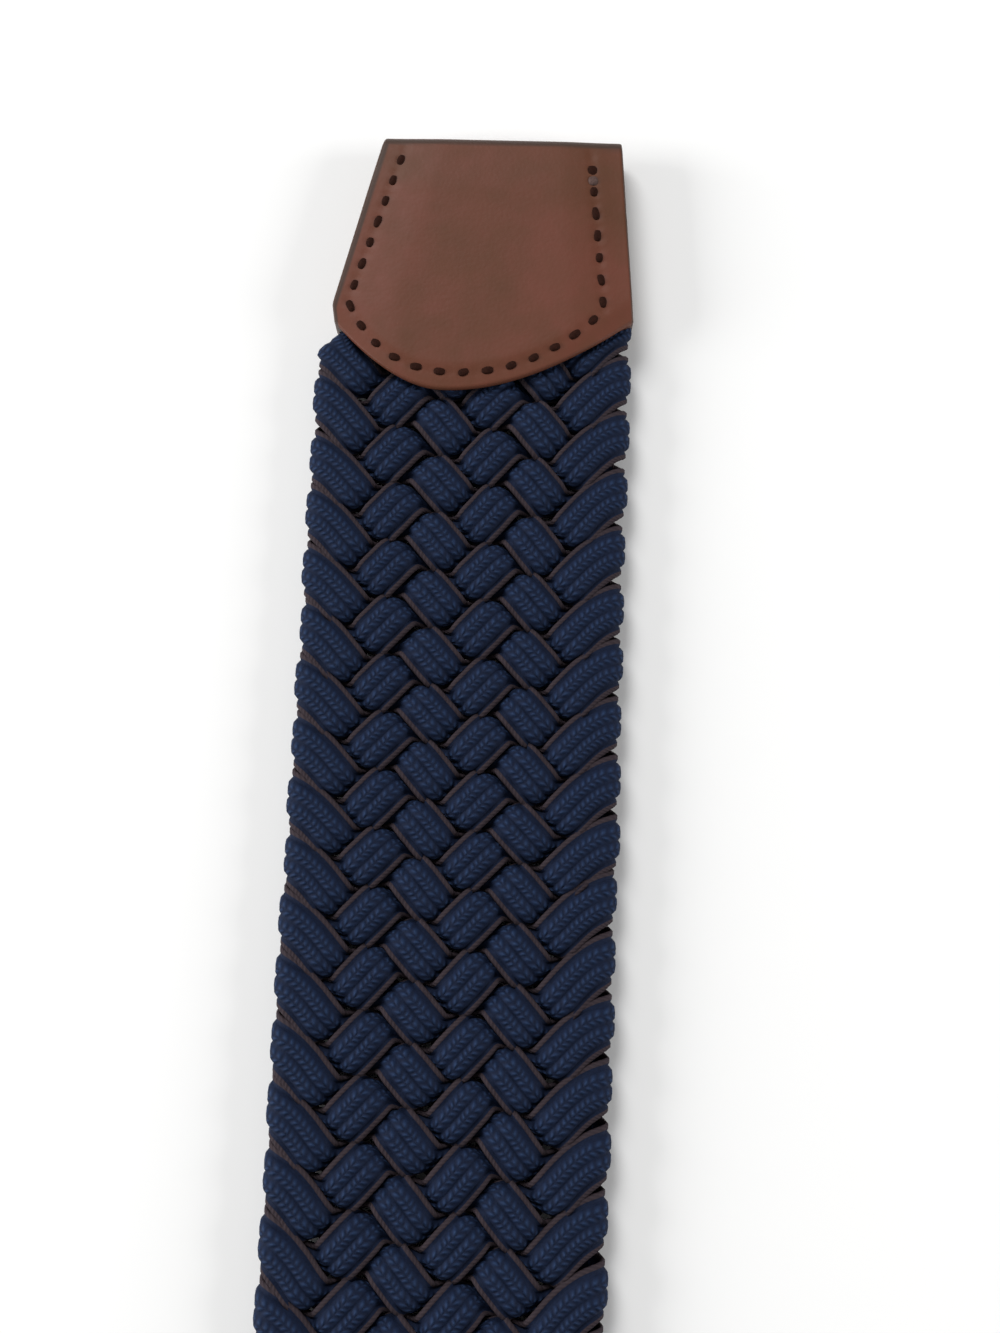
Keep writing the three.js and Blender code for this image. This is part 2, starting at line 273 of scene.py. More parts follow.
def make_object(name, points, faces, material_index=None, uv=None, materials=()):
    """A smooth mesh object from points in millimetres."""
    mesh = bpy.data.meshes.new(name)
    mesh.from_pydata((np.asarray(points) * MM).tolist(), [], [list(map(int, face)) for face in faces])
    for material in materials:
        mesh.materials.append(material)
    if material_index is not None:
        mesh.polygons.foreach_set("material_index", np.asarray(material_index, dtype=np.int32))
    if uv is not None:
        layer = mesh.uv_layers.new(name="pattern")
        layer.data.foreach_set("uv", np.asarray(uv, dtype=np.float32).ravel())
    mesh.polygons.foreach_set("use_smooth", np.ones(len(mesh.polygons), dtype=bool))
    mesh.update()
    return new_object(name, mesh)


def tube_quads(rows, ring, closed=False):
    """Quads between the rows of a tube. A closed tube's last row meets its first."""
    row = np.arange(rows if closed else rows - 1)[:, None]
    side = np.arange(ring)[None, :]
    after = (side + 1) % ring
    near, far = row * ring, (row + 1) % rows * ring
    return np.stack([near + side, near + after, far + after, far + side], axis=2).reshape(-1, 4)


def clean(piece, merge=0):
    """Merges points closer than merge millimetres and turns all faces outwards."""
    mesh = bmesh.new()
    mesh.from_mesh(piece.data)
    if merge:
        bmesh.ops.remove_doubles(mesh, verts=mesh.verts, dist=merge * MM)
    bmesh.ops.recalc_face_normals(mesh, faces=mesh.faces)
    mesh.to_mesh(piece.data)
    mesh.free()


def store_darkness(piece, dark):
    """Stores how dark the leather's material is at each point."""
    attribute = piece.data.attributes.new("edge", "FLOAT", "POINT")
    attribute.data.foreach_set("value", dark.astype(np.float32))


def signed_volume(points, quads):
    a, b, c, d = (points[quads[:, i]] for i in range(4))
    corners = ((b, c), (c, d))
    return sum(float(np.einsum("ij,ij->i", a, np.cross(*pair)).sum()) for pair in corners)


# Material nodes

class Shader:
    """A principled material with short ways to add and link nodes."""

    def __init__(self, name):
        self.material = bpy.data.materials.new(name)
        self.material.use_nodes = True
        self.tree = self.material.node_tree
        self.surface = self.tree.nodes["Principled BSDF"]

    def give(self, socket, value):
        if isinstance(value, bpy.types.NodeSocket):
            self.tree.links.new(value, socket)
        else:
            socket.default_value = value

    def set(self, **sockets):
        for name, value in sockets.items():
            self.give(self.surface.inputs[name.replace("_", " ")], value)

    def add(self, kind, *inputs, **settings):
        node = self.tree.nodes.new(kind)
        for key, value in settings.items():
            setattr(node, key, value)
        for socket, value in zip(list(node.inputs), inputs):
            self.give(socket, value)
        return node

    def maths(self, operation, *inputs):
        return self.add("ShaderNodeMath", *inputs, operation=operation).outputs[0]

    def times(self, a, b):
        return self.maths("MULTIPLY", a, b)

    def place(self):
        return self.add("ShaderNodeTexCoord").outputs["Object"]

    def pattern(self):
        """A strand's own coordinates: across its outline and along it."""
        uv = self.add("ShaderNodeUVMap", uv_map="pattern").outputs[0]
        return self.add("ShaderNodeSeparateXYZ", uv).outputs[:2]

    def noise(self, vector, scale, detail=3.0, roughness=0.5):
        node = self.add("ShaderNodeTexNoise", vector)
        for name, value in (("Scale", scale), ("Detail", detail), ("Roughness", roughness)):
            node.inputs[name].default_value = value
        return node.outputs["Fac"]

    def ramp(self, factor, *stops):
        node = self.add("ShaderNodeValToRGB", factor)
        elements = node.color_ramp.elements
        while len(elements) < len(stops):
            elements.new(0.5)
        for element, (position, colour) in zip(elements, stops):
            element.position = position
            element.color = (*colour, 1)
        return node.outputs["Color"]

    def blend(self, factor, a, b):
        node = self.add("ShaderNodeMix", data_type="RGBA")
        for i, value in ((0, factor), (6, a), (7, b)):
            self.give(node.inputs[i], (*value, 1) if isinstance(value, tuple) else value)
        return node.outputs[2]

    def bump(self, height, distance):
        """A relief from height, which is distance millimetres where height is 1."""
        node = self.add("ShaderNodeBump")
        node.inputs["Strength"].default_value = 1.0
        node.inputs["Distance"].default_value = distance * MM
        self.tree.links.new(height, node.inputs["Height"])
        return node.outputs["Normal"]


def navy_material():
    """Navy yarn: every rib is a column of slanting stitches that meet in its middle."""
    shader = Shader("navy_yarn")
    groove_shade, yarn, lit = (0.002, 0.0035, 0.0115), (0.0075, 0.016, 0.0445), (0.018, 0.038, 0.092)
    greyer = (0.009, 0.0145, 0.035)
    across, along = shader.pattern()
    from_middle = shader.maths("ABSOLUTE", shader.maths("SUBTRACT", shader.maths("FRACT", across), 0.5))
    slant = shader.maths("MULTIPLY_ADD", from_middle, 1.1, along)
    wave = shader.maths("SINE", shader.times(slant, 2 * math.pi))
    stitch = shader.maths("MULTIPLY_ADD", wave, 0.5, 0.5)
    rib = shader.maths("COSINE", shader.times(from_middle, 3.1))
    round_rib = shader.maths("POWER", rib, 1.5)
    middle_line = shader.maths("SMOOTH_MIN", shader.times(from_middle, 6.0), 1.0, 0.3)
    height = shader.times(shader.times(stitch, round_rib), middle_line)
    place = shader.place()
    fibres = shader.noise(place, 3500, 2)
    patches = shader.noise(place, 260, 3)
    height = shader.maths("ADD", height, shader.times(fibres, 0.35))
    # Painted shade and painted highlight: the colour follows the relief. It is darker in the grooves
    # beside and down the middle of each rib and between its stitches, and lighter on the crests.
    colour = shader.ramp(height, (0.0, groove_shade), (0.45, yarn), (1.0, lit))
    colour = shader.blend(shader.times(patches, 0.4), colour, greyer)
    shader.set(Base_Color=colour, Roughness=0.78, Specular_IOR_Level=0.12,
               Normal=shader.bump(height, 0.2))
    return shader.material


def cord_material():
    """Brown cord: a tight twist of two yarns."""
    shader = Shader("brown_cord")
    groove, yarn, bluer = (0.030, 0.022, 0.026), (0.042, 0.030, 0.034), (0.019, 0.0155, 0.023)
    across, along = shader.pattern()
    twist = shader.maths("MULTIPLY_ADD", across, 1.5, along)
    wave = shader.maths("SINE", shader.times(twist, 2 * math.pi * 1.3))
    height = shader.maths("MULTIPLY_ADD", wave, 0.5, 0.5)
    place = shader.place()
    patches = shader.noise(place, 400, 2)
    # Painted shade: the colour follows the twist's relief and is darker in its grooves.
    colour = shader.ramp(height, (0.0, groove), (1.0, yarn))
    colour = shader.blend(shader.times(patches, 0.4), colour, bluer)
    shader.set(Base_Color=colour, Roughness=0.8, Specular_IOR_Level=0.1,
               Normal=shader.bump(height, 0.04))
    return shader.material


def leather_material():
    """Smooth brown leather with fine pores, soft mottling, darker painted cut edges and a darker line
    along its fold.
    """
    shader = Shader("brown_leather")
    dark, warm = (0.092, 0.032, 0.016), (0.132, 0.039, 0.025)
    olive, darker_tone = (0.080, 0.036, 0.014), (0.040, 0.026, 0.020)
    place = shader.place()
    clouds = shader.noise(place, 90, 4, 0.55)
    mottle = shader.noise(place, 420, 4, 0.6)
    grain = shader.add("ShaderNodeTexVoronoi", place, feature="SMOOTH_F1")
    grain.inputs["Scale"].default_value = 2600
    pores = shader.noise(place, 2200, 3)
    colour = shader.ramp(clouds, (0.35, dark), (0.62, warm))
    colour = shader.blend(shader.times(mottle, 0.45), colour, olive)
    edge = shader.add("ShaderNodeAttribute", attribute_name="edge").outputs["Fac"]
    # Darker along the painted cut edges and in a line along the fold.
    colour = shader.blend(shader.times(edge, 0.85), colour, darker_tone)
    height = shader.maths("ADD", grain.outputs["Distance"], shader.times(pores, 0.8))
    roughness = shader.maths("MULTIPLY_ADD", mottle, 0.12, 0.46)
    shader.set(Base_Color=colour, Roughness=roughness, Specular_IOR_Level=0.2,
               Normal=shader.bump(height, 0.012))
    return shader.material


def thread_material(name, dark, light):
    """Waxed thread, between a dark and a light tone."""
    shader = Shader(name)
    place = shader.place()
    fibres = shader.noise(place, 4000, 2)
    colour = shader.ramp(fibres, (0.3, dark), (0.7, light))
    shader.set(Base_Color=colour, Roughness=0.8, Specular_IOR_Level=0.08,
               Normal=shader.bump(fibres, 0.04))
    return shader.material


def thread_materials():
    """Dark brown thread, and the paler tone of its trimmed end."""
    tones = ((0.014, 0.004, 0.002), (0.024, 0.007, 0.004))
    pale = [(4.5 * tone[0], 4.5 * tone[0] * 0.62, 4.5 * tone[0] * 0.55) for tone in tones]
    return thread_material("brown_thread", *tones), thread_material("thread_end", *pale)


def metal_material():
    """Satin metal, brushed along the frame."""
    shader = Shader("satin_metal")
    dark, light = (0.36, 0.34, 0.30), (0.46, 0.43, 0.38)
    place = shader.place()
    stretch = shader.add("ShaderNodeMapping", place)
    stretch.inputs["Scale"].default_value = (1, 0.04, 1)
    brush = shader.noise(stretch.outputs[0], 6000, 2)
    wear = shader.noise(place, 120, 3)
    colour = shader.ramp(wear, (0.3, dark), (0.7, light))
    roughness = shader.maths("MULTIPLY_ADD", brush, 0.2, 0.22)
    shader.set(Base_Color=colour, Metallic=1.0, Roughness=roughness, Normal=shader.bump(brush, 0.02))
    return shader.material


# Leather covers: outline and height

def side_points(cover, side, margin=0.0):
    """Rows of a side as arrays of x and s."""
    sign = -1 if side == "left" else 1
    rows = np.array(cover[side], dtype=float)
    x = sign * (BELT_WIDTH / 2 - margin - rows[:, 1] * BELT_WIDTH)
    return x, rows[:, 0] * cover["length"]


def side_x(cover, side, s, margin=0.0):
    x, at = side_points(cover, side, margin)
    return np.interp(s, at, x)


def base_curve(cover):
    """The curved base as fine arrays of x and s, from the left corner to the right."""
    crown, length = cover["crown"], cover["length"]
    t = np.linspace(0, 1, 60)
    halves = []
    for side in ("left", "right"):
        x, s = side_points(cover, side)
        handle = crown + CROWN_FULLNESS * (x[-1] - crown)
        bx = (1 - t) ** 2 * x[-1] + 2 * t * (1 - t) * handle + t * t * crown
        bs = (1 - t) ** 2 * s[-1] + (1 - (1 - t) ** 2) * length
        halves.append((bx, bs))
    (lx, ls), (rx, rs) = halves
    return np.concatenate([lx, rx[::-1][1:]]), np.concatenate([ls, rs[::-1][1:]])


def base_s(cover, x):
    bx, bs = base_curve(cover)
    return np.interp(x, bx, bs)


# Leather covers: surface

def belt_y(cover, s):
    return cover["edge"] + cover["towards"] * s


def gap_at(cover, s):
    """Half the space left between the two layers at their sewn sides."""
    half = np.full_like(s, SEWN_GAP)
    for first, last in cover.get("open", ()):
        half = np.where((s > first) & (s < last), MIDDLE - LEATHER, half)
    return half


def cover_height(cover, u, s):
    """Half the cover's height at a place: pinched where its sides are sewn and full over the braid."""
    corner = side_points(cover, "left")[1][-1]
    side = np.minimum(u - side_x(cover, "left", s), side_x(cover, "right", s) - u)
    if "open" in cover:
        sewn = np.full_like(s, CHAPE_PINCH)
        fold = 1
    else:
        sewn = mix(PINCH, CORNER_PINCH, smoothstep(s / corner))
        fold = mix(FOLD_PINCH, 1, smoothstep(s / PINCH_REACH))
    share = mix(sewn, 1, smoothstep((side - PINCH_SIDE) / PINCH_REACH)) * fold
    return MIDDLE * share * mix(BASE_LEFT, 1, smoothstep((base_s(cover, u) - s) / BASE_REACH))


def route_points(corners):
    """A stitch line as close points with their distance from its start."""
    points = []
    t = np.linspace(0, 1, 40)[:, None]
    place = np.array(corners)[:, :2]
    i = 0
    while i < len(corners) - 1:
        a = place[i]
        if corners[i + 1][2]:
            b, c = place[i + 1], place[i + 2]
            points.append((1 - t) ** 2 * a + 2 * t * (1 - t) * b + t * t * c)
            i += 2
        else:
            points.append(mix(a, place[i + 1], t))
            i += 1
    points = np.concatenate(points)
    steps = np.linalg.norm(np.diff(points, axis=0), axis=1)
    points = points[np.concatenate([[True], steps > 1e-6])]
    return points, running(steps[steps > 1e-6])


def distance_to(points, u, s):
    """Distance from places on a cover to a line of close points."""
    nearest = np.full(u.shape, 1e9)
    for a, b in points[::3]:
        nearest = np.minimum(nearest, (u - a) ** 2 + (s - b) ** 2)
    return np.sqrt(nearest)


def cover_grid(cover, across, along):
    """Places u and s on a grid that follows the cover's fold, sides and curved base."""
    bx, bs = base_curve(cover)
    way = running(np.hypot(np.diff(bx), np.diff(bs)))
    way /= way[-1]
    a, b = np.meshgrid(across, along, indexing="ij")
    base = np.stack([np.interp(across, way, bx), np.interp(across, way, bs)], axis=1)
    sides = []
    for side in ("left", "right"):
        s = along * side_points(cover, side)[1][-1]
        sides.append(np.stack([side_x(cover, side, s), s], axis=1))
    left, right = sides
    fold_left, fold_right = (np.array([side_points(cover, side)[0][0], 0.0]) for side in ("left", "right"))
    fold = mix(fold_left, fold_right, across[:, None])
    a, b = a[..., None], b[..., None]
    grid = (1 - b) * fold[:, None] + b * base[:, None] + (1 - a) * left[None] + a * right[None]
    grid -= (1 - b) * mix(fold_left, fold_right, a) + b * mix(base[0], base[-1], a)
    return grid


def spacing(count, *extra):
    """Shares from 0 to 1, with extra ones close to the cut edges."""
    return np.unique(np.concatenate([np.linspace(0, 1, count), *extra]))


def side_distance(grid):
    """Distance of a grid's places from the cover's nearer side."""
    return np.minimum(np.linalg.norm(grid - grid[:1], axis=2), np.linalg.norm(grid - grid[-1:], axis=2))


def outer_height(cover, grid):
    """Half the height of the outer faces: rounded at the cut edges and at the fold, and pressed in
    along the stitches."""
    u, s = grid[..., 0], grid[..., 1]
    gap = np.minimum(side_distance(grid), np.linalg.norm(grid - grid[:, -1:], axis=2))
    inset = np.clip(EDGE_ROUND - gap, 0, EDGE_ROUND)
    drop = EDGE_ROUND - np.sqrt(EDGE_ROUND ** 2 - inset ** 2)
    from_seam = distance_to(route_points(cover["stitches"])[0], u, s)
    groove = SEAM_GROOVE * np.exp(-(from_seam / SEAM_WIDTH) ** 2)
    fold_share = np.clip(s / FOLD_DEPTH, 0, 1)
    return (cover_height(cover, u, s) - drop - groove) * np.sqrt(1 - (1 - fold_share) ** 2)


def make_pocket(cover, across):
    """Places and half heights of the leather's inner faces at the curved base."""
    depths = POCKET_ROWS * POCKET_DEPTH / cover["length"]
    places = cover_grid(cover, across, 1 - depths)
    wall = mix(BASE_WALL, LEATHER, smoothstep(depths / depths[-1]))
    high = cover_height(cover, places[..., 0], places[..., 1]) - wall
    return places, high * smoothstep((side_distance(places) - POCKET_SIDE) / POCKET_OPENING)


def darkness(cover, grid):
    """How dark the outer faces are, from 0 to 1: a line beside the fold and the painted side edges."""
    u, s = grid[..., 0], grid[..., 1]
    first, last = cover["dark_fold"]
    line = smoothstep((s - first) / DARK_BLUR) * smoothstep((last - s) / (2 * DARK_BLUR))
    width = np.where(u < 0, cover["dark_left"], DARK_RIGHT)
    return np.maximum(line, smoothstep((width - side_distance(grid)) / DARK_BLUR))


def side_walls(cover, grid, high, ring):
    """Points and quads that close both sides of a cover, with the gap between its layers. ring is the
    number of points round the cover in one column of its grid."""
    columns, rows = high.shape
    place = np.arange(rows)
    walls, quads = [], []
    for column, inward in ((0, 1), (columns - 1, -1)):
        rim = grid[column]
        half = np.minimum(gap_at(cover, rim[:, 1]), high[column])
        reach = np.where(half > WIDE_GAP, OPEN_REACH, SEWN_REACH) * inward
        inner = rim + np.stack([reach, np.zeros(rows)], axis=1)
        first = columns * ring + rows * len(walls)
        lines = [column * ring + place] + [first + i * rows + place for i in range(4)]
        lines.append(column * ring + (ring - place) % ring)
        for line, height in ((rim, half), (inner, half), (inner, -half), (rim, -half)):
            walls.append(np.column_stack([line, height]))
        for a, b in zip(lines[:-1], lines[1:]):
            quads.append(np.stack([a[:-1], a[1:], b[1:], b[:-1]], axis=1))
    return walls, quads


def make_cover(name, cover, material):
    """One folded piece of leather: outer faces, rounded edges, a pocket at its base and open sides
    where something passes between its layers."""
    across = spacing(cover["mesh"][0], EDGE_ROWS, 1 - EDGE_ROWS)
    along = spacing(cover["mesh"][1], 1 - EDGE_ROWS)
    fold_rows = FOLD_ROWS / cover["length"]
    along = np.unique(np.concatenate([fold_rows, along[along > fold_rows[-1] * 1.3]]))
    grid = cover_grid(cover, across, along)
    high = outer_height(cover, grid)
    pocket, pocket_high = make_pocket(cover, across)
    upper = np.concatenate([grid, high[..., None]], axis=2)
    inner = np.concatenate([pocket, pocket_high[..., None]], axis=2)
    mirror = np.array([1, 1, -1])
    loop = np.concatenate([upper, inner, inner[:, ::-1] * mirror, upper[:, ::-1][:, :-1] * mirror], axis=1)
    columns, ring = loop.shape[:2]
    walls, wall_quads = side_walls(cover, grid, high, ring)
    quads = [tube_quads(columns, ring)] + wall_quads
    dark = np.ones((columns, ring))
    dark[:, :len(along)] = darkness(cover, grid)
    dark[:, 1 - len(along):] = dark[:, len(along) - 1:0:-1]
    points = np.concatenate([loop.reshape(-1, 3)] + walls)
    dark = np.concatenate([dark.ravel()] + [np.ones(len(wall)) for wall in walls])
    right_share = np.clip(points[:, 0] / BELT_WIDTH + 0.5, 0, 1)
    skew = cover["skew"] * right_share * (1 - smoothstep(points[:, 1] / SKEW_REACH))
    y = belt_y(cover, points[:, 1] - skew)
    points = np.stack([points[:, 0], y, MIDDLE + points[:, 2]], axis=1)
    piece = make_object(name, points, np.concatenate(quads), materials=(material,))
    store_darkness(piece, dark)
    clean(piece, 0.002)
    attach(piece, "root")
    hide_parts(cover["node"])
    return piece


def cut_slot(piece):
    """Cuts the prong's slot through both layers of the leather round the buckle's bar."""
    bpy.ops.mesh.primitive_cube_add(size=1)
    cutter = bpy.context.object
    cutter.scale = (2 * SLOT_HALF * MM, (SLOT_END + SLOT_PAST) * MM, 12 * MM)
    cutter.location = (0, (CHAPE_EDGE + SLOT_END / 2 - SLOT_PAST / 2) * MM, MIDDLE * MM)
    bevel = cutter.modifiers.new("round", "BEVEL")
    bevel.width = SLOT_HALF * 0.7 * MM
    bevel.segments = 5
    bevel.limit_method = "ANGLE"
    cut = piece.modifiers.new("slot", "BOOLEAN")
    cut.object = cutter
    cut.operation = "DIFFERENCE"
    cut.solver = "EXACT"
    graph = bpy.context.evaluated_depsgraph_get()
    mesh = bpy.data.meshes.new_from_object(piece.evaluated_get(graph))
    piece.modifiers.clear()
    piece.data = mesh
    bpy.data.objects.remove(cutter)


def stitch_blob():
    """Points of a rounded length of thread that reaches 1 from its middle each way."""
    lat = np.linspace(0, np.pi, THREAD_ROWS)[:, None]
    lon = np.linspace(0, 2 * np.pi, THREAD_SIDES, endpoint=False)[None, :]
    round_side = np.sin(lat) ** 0.7
    blob = np.stack([-np.cos(lat) + 0 * lon, round_side * np.cos(lon), round_side * np.sin(lon)], axis=2)
    return blob.reshape(-1, 3)


def make_stitches(name, cover, materials):
    """Stitches on both faces of a cover, as short rounded lengths of thread, with the trimmed thread's
    lump between the last two."""
    route, length = route_points(cover["stitches"])
    ahead = np.stack([np.gradient(route[:, 0], length), np.gradient(route[:, 1], length)], axis=1)
    count = int(length[-1] / STITCH_SPACING)
    at = (np.arange(count) + 0.5) * length[-1] / count
    s = np.interp(at, length, route[:, 1])
    closed = np.zeros(count, dtype=bool)
    for first, last in cover.get("open", ()):
        closed |= (s > first - OPEN_MARGIN) & (s < last + OPEN_MARGIN)
    spots = list(at[~closed]) + [(at[-1] + at[-2]) / 2]
    chance = np.random.default_rng(7)
    blob = stitch_blob()
    block = tube_quads(THREAD_ROWS, THREAD_SIDES)
    points, quads, knotted = [], [], []
    for i, spot in enumerate(spots):
        is_knot = i == len(spots) - 1
        middle = np.array([np.interp(spot, length, column) for column in route.T])
        direction = np.array([np.interp(spot, length, column) for column in ahead.T])
        direction /= np.linalg.norm(direction)
        turn = math.radians(THREAD_TURN) * chance.normal()
        c, d = math.cos(turn), math.sin(turn)
        direction = np.array([direction[0] * c - direction[1] * d, direction[0] * d + direction[1] * c])
        sideways = np.array([-direction[1], direction[0]])
        size = np.array([THREAD_LENGTH / 2 * (1 + 0.1 * chance.normal()), THREAD_WIDTH / 2, THREAD_HALF])
        if spot == at[-1]:
            size[:2] = THREAD_WIDTH / 2 * THREAD_END
        if is_knot:
            size[:2] = KNOT / 2
        local = blob * size
        place = middle + local[:, :1] * direction + local[:, 1:2] * sideways
        y = belt_y(cover, place[:, 1])
        height = cover_height(cover, middle[:1], middle[1:])[0] - (KNOT_SINK if is_knot else THREAD_SINK)
        for face in (1, -1):
            quads.append(block + len(blob) * len(points))
            points.append(np.stack([place[:, 0], y, MIDDLE + face * height + local[:, 2]], axis=1))
            knotted.append(np.full(len(block), int(is_knot)))
    points, quads, knotted = np.concatenate(points), np.concatenate(quads), np.concatenate(knotted)
    piece = make_object(name, points, quads, knotted, materials=materials)
    clean(piece, 0.0005)
    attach(piece, "root")
    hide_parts(cover["node"])


# Swept pieces

def rounded_section(half_width, half_height, power, count):
    """A rounded rectangle outline: the higher the power, the squarer it is."""
    angle = np.linspace(0, 2 * np.pi, count, endpoint=False)
    c, s = np.cos(angle), np.sin(angle)
    return np.stack([half_width * np.sign(c) * np.abs(c) ** (2 / power),
                     half_height * np.sign(s) * np.abs(s) ** (2 / power)], axis=1)


def corner_path(corners, radius, count, closed):
    """Points along straight lines between the corners, with rounded corners."""
    corners = [np.array(corner, dtype=float) for corner in corners]
    n = len(corners)
    points = []
    for i, corner in enumerate(corners):
        if not closed and i in (0, n - 1):
            points.append(corner)
            continue
        before = corners[i - 1] - corner
        after = corners[(i + 1) % n] - corner
        before /= np.linalg.norm(before)
        after /= np.linalg.norm(after)
        middle = corner + (before + after) * radius
        for share in np.linspace(0, 1, count):
            angle = share * math.pi / 2
            points.append(middle - after * radius * math.cos(angle) - before * radius * math.sin(angle))
    return np.array(points)


def filled(path, step, closed):
    """The path with points added on its long straights, which are then at least step apart."""
    ends = np.roll(path, -1, axis=0) if closed else path[1:]
    points = []
    for a, b in zip(path, ends):
        steps = max(1, int(np.linalg.norm(b - a) / step))
        points.extend(mix(a, b, share) for share in np.arange(steps) / steps)
    return np.array(points if closed else points + [path[-1]])


def sweep(name, path, section, sizes, up, closed, material):
    """A mesh from an outline that follows a path, scaled by one size for each of its points. up is the
    direction square to the path's plane."""
    up = np.array(up, dtype=float)
    if closed:
        ahead = np.roll(path, -1, axis=0) - np.roll(path, 1, axis=0)
    else:
        ahead = np.gradient(path, axis=0)
    across = np.cross(unit(ahead), up)
    sections = section[None] * np.asarray(sizes)[:, None, None]
    points = path[:, None] + sections[..., :1] * across[:, None] + sections[..., 1:] * up
    rows, ring = points.shape[:2]
    faces = tube_quads(rows, ring, closed).tolist()
    if not closed:
        faces.append(list(range(ring)))
        faces.append(list(range((rows - 1) * ring, rows * ring)))
    piece = make_object(name, points.reshape(-1, 3), faces, materials=(material,))
    clean(piece)
    return piece


def joined(name, pieces, node):
    for piece in bpy.context.selected_objects:
        piece.select_set(False)
    for piece in pieces:
        piece.select_set(True)
    bpy.context.view_layer.objects.active = pieces[0]
    if len(pieces) > 1:
        bpy.ops.object.join()
    pieces[0].name = name
    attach(pieces[0], "root")
    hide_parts(node)


def make_keeper(material):
    """A closed leather loop with rounded edges."""
    half = KEEPER_HIGH[0] - KEEPER_WALL / 2
    low, high = KEEPER_LOW[2] + KEEPER_WALL / 2, KEEPER_HIGH[2] - KEEPER_WALL / 2
    middle_y = (KEEPER_LOW[1] + KEEPER_HIGH[1]) / 2
    corners = [(x, middle_y, z) for x, z in ((-half, low), (half, low), (half, high), (-half, high))]
    path = filled(corner_path(corners, KEEPER_CORNER, 9, True), 1.5, True)
    section = rounded_section(KEEPER_WALL / 2, (KEEPER_HIGH[1] - KEEPER_LOW[1]) / 2, 7, 40)
    piece = sweep("keeper", path, section, np.ones(len(path)), (0, 1, 0), True, material)
    y = np.array([vertex.co.y for vertex in piece.data.vertices]) / MM
    store_darkness(piece, smoothstep((np.abs(y - middle_y) - KEEPER_RIM) / DARK_BLUR))
    joined("keeper", [piece], "keeper_loop")


def make_frame(material):
    """The buckle's front and sides, as one bent rail that is open towards the belt."""
    half = BUCKLE_HIGH[0] - RAIL / 2
    front, heel = BUCKLE_LOW[1] + RAIL / 2, BUCKLE_HIGH[1] - HEEL_INSET
    places = ((-half, heel), (-half, front), (half, front), (half, heel))
    corners = [(x, y, RAIL_HEIGHT / 2) for x, y in places]
    path = filled(corner_path(corners, RAIL_CORNER, 14, False), 2, False)
    sizes = np.ones(len(path))
    sizes[[0, -1]] = RAIL_END
    section = rounded_section(RAIL / 2, RAIL_HEIGHT / 2, 3.2, 28)
    return sweep("frame", path, section, sizes, (0, 0, 1), False, material)


def make_rod(name, half_length, section, sizes, material):
    """A straight rod across the belt, on the buckle's bar."""
    path = np.array([(x, BAR_Y, MIDDLE) for x in np.linspace(-half_length, half_length, len(sizes))])
    return sweep(name, path, section, sizes, (0, 0, 1), False, material)


def make_prong(material):
    """The prong, which rises from the bar, lies on the front rail and ends in a rounded nose."""
    seat = RAIL_HEIGHT - PRONG_SINK + PRONG_RADIUS
    start_y, risen_y, tip_y = BAR_Y - PRONG_START, BAR_Y - PRONG_RISEN, BUCKLE_LOW[1] + PRONG_RADIUS
    knots_y = np.array([start_y, risen_y, (risen_y + tip_y) / 2, tip_y])
    knots_z = np.array([MIDDLE + PRONG_LIFT, seat - PRONG_RADIUS / 3, seat + PRONG_RADIUS / 3, seat])
    t = np.linspace(0, 1, 40)
    knot_t = (knots_y[0] - knots_y) / (knots_y[0] - knots_y[-1])
    curve = np.polyfit(knot_t, knots_z, 3)
    path = np.stack([0 * t, mix(start_y, tip_y, t), np.polyval(curve, t)], axis=1)
    nose = np.linspace(0, 1, 9)[1:]
    tip = path[-1] + np.stack([0 * nose, -PRONG_RADIUS * nose, -0.15 * nose], axis=1)
    slimmer = mix(1.0, PRONG_SLIM, smoothstep((t - 0.3) / 0.7))
    sizes = np.concatenate([slimmer, PRONG_SLIM * np.sqrt(1 - 0.985 * nose ** 2)])
    ring = rounded_section(PRONG_RADIUS, PRONG_RADIUS, 2.4, 22)
    return sweep("prong", np.concatenate([path, tip]), ring, sizes, (1, 0, 0), False, material)


def make_buckle(material):
    """Frame, bar and prong, joined as one metal piece."""
    pieces = [
        make_frame(material),
        make_rod("bar", BUCKLE_HIGH[0] - RAIL / 2, rounded_section(2, 1, 3, 20), np.ones(12), material),
        make_prong(material),
        make_rod("loop", 2.5, rounded_section(3.1, 2.1, 3, 26), LOOP_SIZES, material),
    ]
    joined("belt_buckle", pieces, "buckle")


def make_leather():
    leather = leather_material()
    threads = thread_materials()
    make_cover("tip_cover", TIP, leather)
    make_stitches("tip_stitches", TIP, threads)
    cut_slot(make_cover("chape_cover", CHAPE, leather))
    make_stitches("chape_stitches", CHAPE, threads)
    make_keeper(leather)


# Braid

def edge_path(turn, reach, column):
    """Half a strand's way round an edge, from the edge (0) to the outer column (1 or -1): how far it
    has come in from the edge, how far along the belt it is from the turn, and its height."""
    arc = EDGE_RADIUS * math.pi / 2
    whole = arc + reach - EDGE_RADIUS - column
    way = np.abs(turn) * whole
    angle = np.minimum(way, arc) / EDGE_RADIUS
    inward = EDGE_RADIUS * (1 - np.cos(angle)) + np.maximum(way - arc, 0)
    end_slope = math.tan(LEAN)
    first_slope = PITCH / whole - end_slope
    along = first_slope * way + (end_slope - first_slope) * way ** 2 / (2 * whole)
    return inward, along * np.sign(turn), np.sin(angle) * np.sign(turn)


